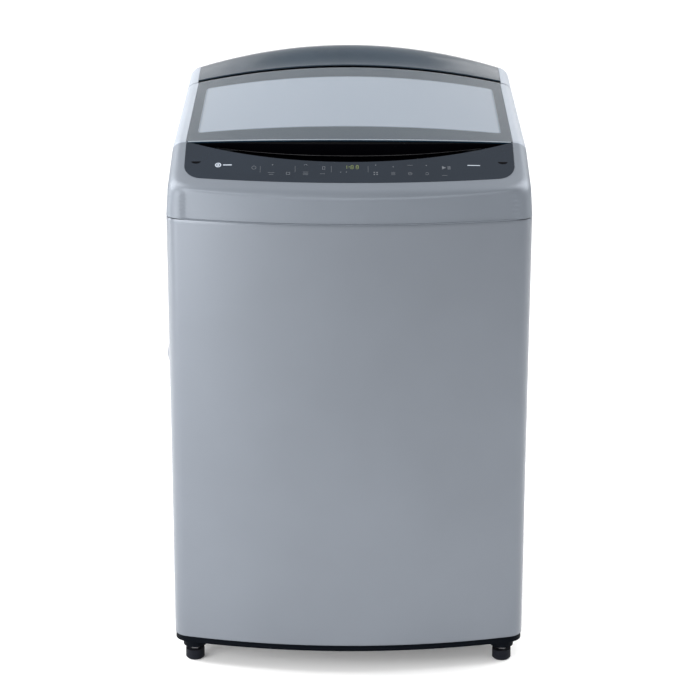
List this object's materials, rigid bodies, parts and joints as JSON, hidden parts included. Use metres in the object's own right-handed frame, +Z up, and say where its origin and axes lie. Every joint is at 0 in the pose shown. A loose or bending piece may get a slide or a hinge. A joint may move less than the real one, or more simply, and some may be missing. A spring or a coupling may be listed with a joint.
{
  "type": "top load washing machine",
  "caption": "Tall bowed-front cabinet with a curved glass lid, sloping touch panel, sprung tub, spinning basket, pulsator and levelling feet.",
  "frame": {"origin": "on the floor under the tub's axis, at the middle of the machine's footprint", "axes": "+Z up, the front with the control panel faces -Y, +X to the right of somebody standing in front"},
  "size_m": [0.641, 0.6714, 1.023],
  "materials": {
    "silver_steel": "metallic silver-grey paint over sheet steel",
    "rear_steel": "plain zinc-coated sheet",
    "silver_plastic": "silver metallic moulded plastic",
    "rail_plastic": "bright silver painted plastic",
    "black_base": "blue-black moulded plastic",
    "black_gloss": "glossy black plastic",
    "panel_dark": "dark slate touch panel",
    "console_dark": "dark blue-grey glossy plastic",
    "lid_glass": "tempered glass with a printed border",
    "black_plastic": "black plastic",
    "foot_rubber": "black rubber and plastic",
    "zinc_steel": "zinc-plated steel",
    "dark_steel": "machined steel",
    "spring_steel": "spring steel",
    "tub_plastic": "pale grey polypropylene",
    "stainless": "stainless sheet",
    "basket_plastic": "grey plastic",
    "aluminium": "cast aluminium",
    "winding": "enamelled copper windings",
    "seal_rubber": "black rubber",
    "white_plastic": "white plastic",
    "blue_plastic": "blue plastic",
    "red_plastic": "red plastic",
    "board": "printed circuit board"
  },
  "bodies": {
    "root": {"cabinet_wrap": "silver_steel", "rear_cover": "rear_steel", "rear_cover_screws": "zinc_steel", "base_frame": "black_base", "rear_feet": "foot_rubber", "foot_lock_nuts": "zinc_steel", "side_clip": "silver_plastic", "corner_plates": "zinc_steel", "suspension_rods": "zinc_steel", "suspension_springs": "spring_steel", "top_cover": "silver_plastic", "control_panel": "panel_dark", "panel_plugs": "black_gloss", "finger_recess": "black_gloss", "display_board": "board", "control_box": "black_plastic", "rear_console": "console_dark", "console_end_caps": "rail_plastic", "hinge_brackets": "zinc_steel", "hinge_pins": "dark_steel", "inlet_valve_cold": "blue_plastic", "inlet_valve_hot": "red_plastic", "dispenser_housing": "white_plastic", "lid_lock_body": "black_plastic", "cord_gland": "black_plastic", "drain_elbow": "black_plastic"},
    "lid": {"lid_glass": "lid_glass", "lid_side_rails": "rail_plastic", "lid_frame": "black_gloss", "lid_hinge_arms": "dark_steel", "lid_bumpers": "seal_rubber", "lid_strike": "black_plastic"},
    "tub": {"outer_tub": "tub_plastic", "tub_cover": "tub_plastic", "suspension_cups": "black_plastic", "bearing_housing": "aluminium", "bearing_upper": "dark_steel", "bearing_lower": "dark_steel", "water_seal": "seal_rubber", "stator": "winding", "clutch_motor": "black_plastic", "drain_valve_body": "white_plastic", "drain_motor": "black_plastic"},
    "basket": {"basket_wall": "stainless", "basket_bottom": "basket_plastic", "balance_ring": "basket_plastic", "lint_filters": "white_plastic", "spin_shaft": "dark_steel"},
    "pulsator_drive": {"pulsator": "basket_plastic", "wash_shaft": "dark_steel", "rotor": "dark_steel", "rotor_nut": "zinc_steel"},
    "clutch_coupler": {"clutch_coupler": "dark_steel"},
    "drawer": {"detergent_drawer": "white_plastic"},
    "lock_bolt": {"lid_lock_bolt": "zinc_steel"},
    "left_foot": {"foot_front_left": "foot_rubber"},
    "right_foot": {"foot_front_right": "foot_rubber"},
    "drain_plunger": {"drain_plunger": "seal_rubber"}
  },
  "joints": [
    {"name": "lid_hinge", "type": "hinge", "parent": "root", "child": "lid", "pos_m": [0, 0.186, 0.961], "axis": [-1, 0, 0], "range_deg": [0, 80]},
    {"name": "tub_bounce", "type": "slide", "parent": "root", "child": "tub", "axis": [0, 0, 1], "range_m": [-0.01, 0.01], "stiffness_N_per_m": 20000, "springref_m": 0.0162, "deforming": ["suspension_springs"]},
    {"name": "basket_spin", "type": "hinge", "parent": "tub", "child": "basket", "pos_m": [0, 0, 0.25], "axis": [0, 0, 1], "continuous": true},
    {"name": "pulsator_spin", "type": "hinge", "parent": "tub", "child": "pulsator_drive", "pos_m": [0, 0, 0.25], "axis": [0, 0, 1], "continuous": true},
    {"name": "clutch_shift", "type": "slide", "parent": "tub", "child": "clutch_coupler", "axis": [0, 0, 1], "range_m": [0, 0.006]},
    {"name": "drain_pull", "type": "slide", "parent": "tub", "child": "drain_plunger", "axis": [-1, 0, 0], "range_m": [0, 0.01], "stiffness_N_per_m": 600, "springref_m": -0.004},
    {"name": "drawer_slide", "type": "slide", "parent": "root", "child": "drawer", "axis": [0, -1, 0], "range_m": [0, 0.06]},
    {"name": "lock_bolt_slide", "type": "slide", "parent": "root", "child": "lock_bolt", "axis": [1, 0, 0], "range_m": [0, 0.007]},
    {"name": "left_foot_turn", "type": "hinge", "parent": "root", "child": "left_foot", "pos_m": [-0.28, -0.272, 0.03], "axis": [0, 0, 1], "continuous": true},
    {"name": "right_foot_turn", "type": "hinge", "parent": "root", "child": "right_foot", "pos_m": [0.28, -0.272, 0.03], "axis": [0, 0, 1], "continuous": true}
  ]
}
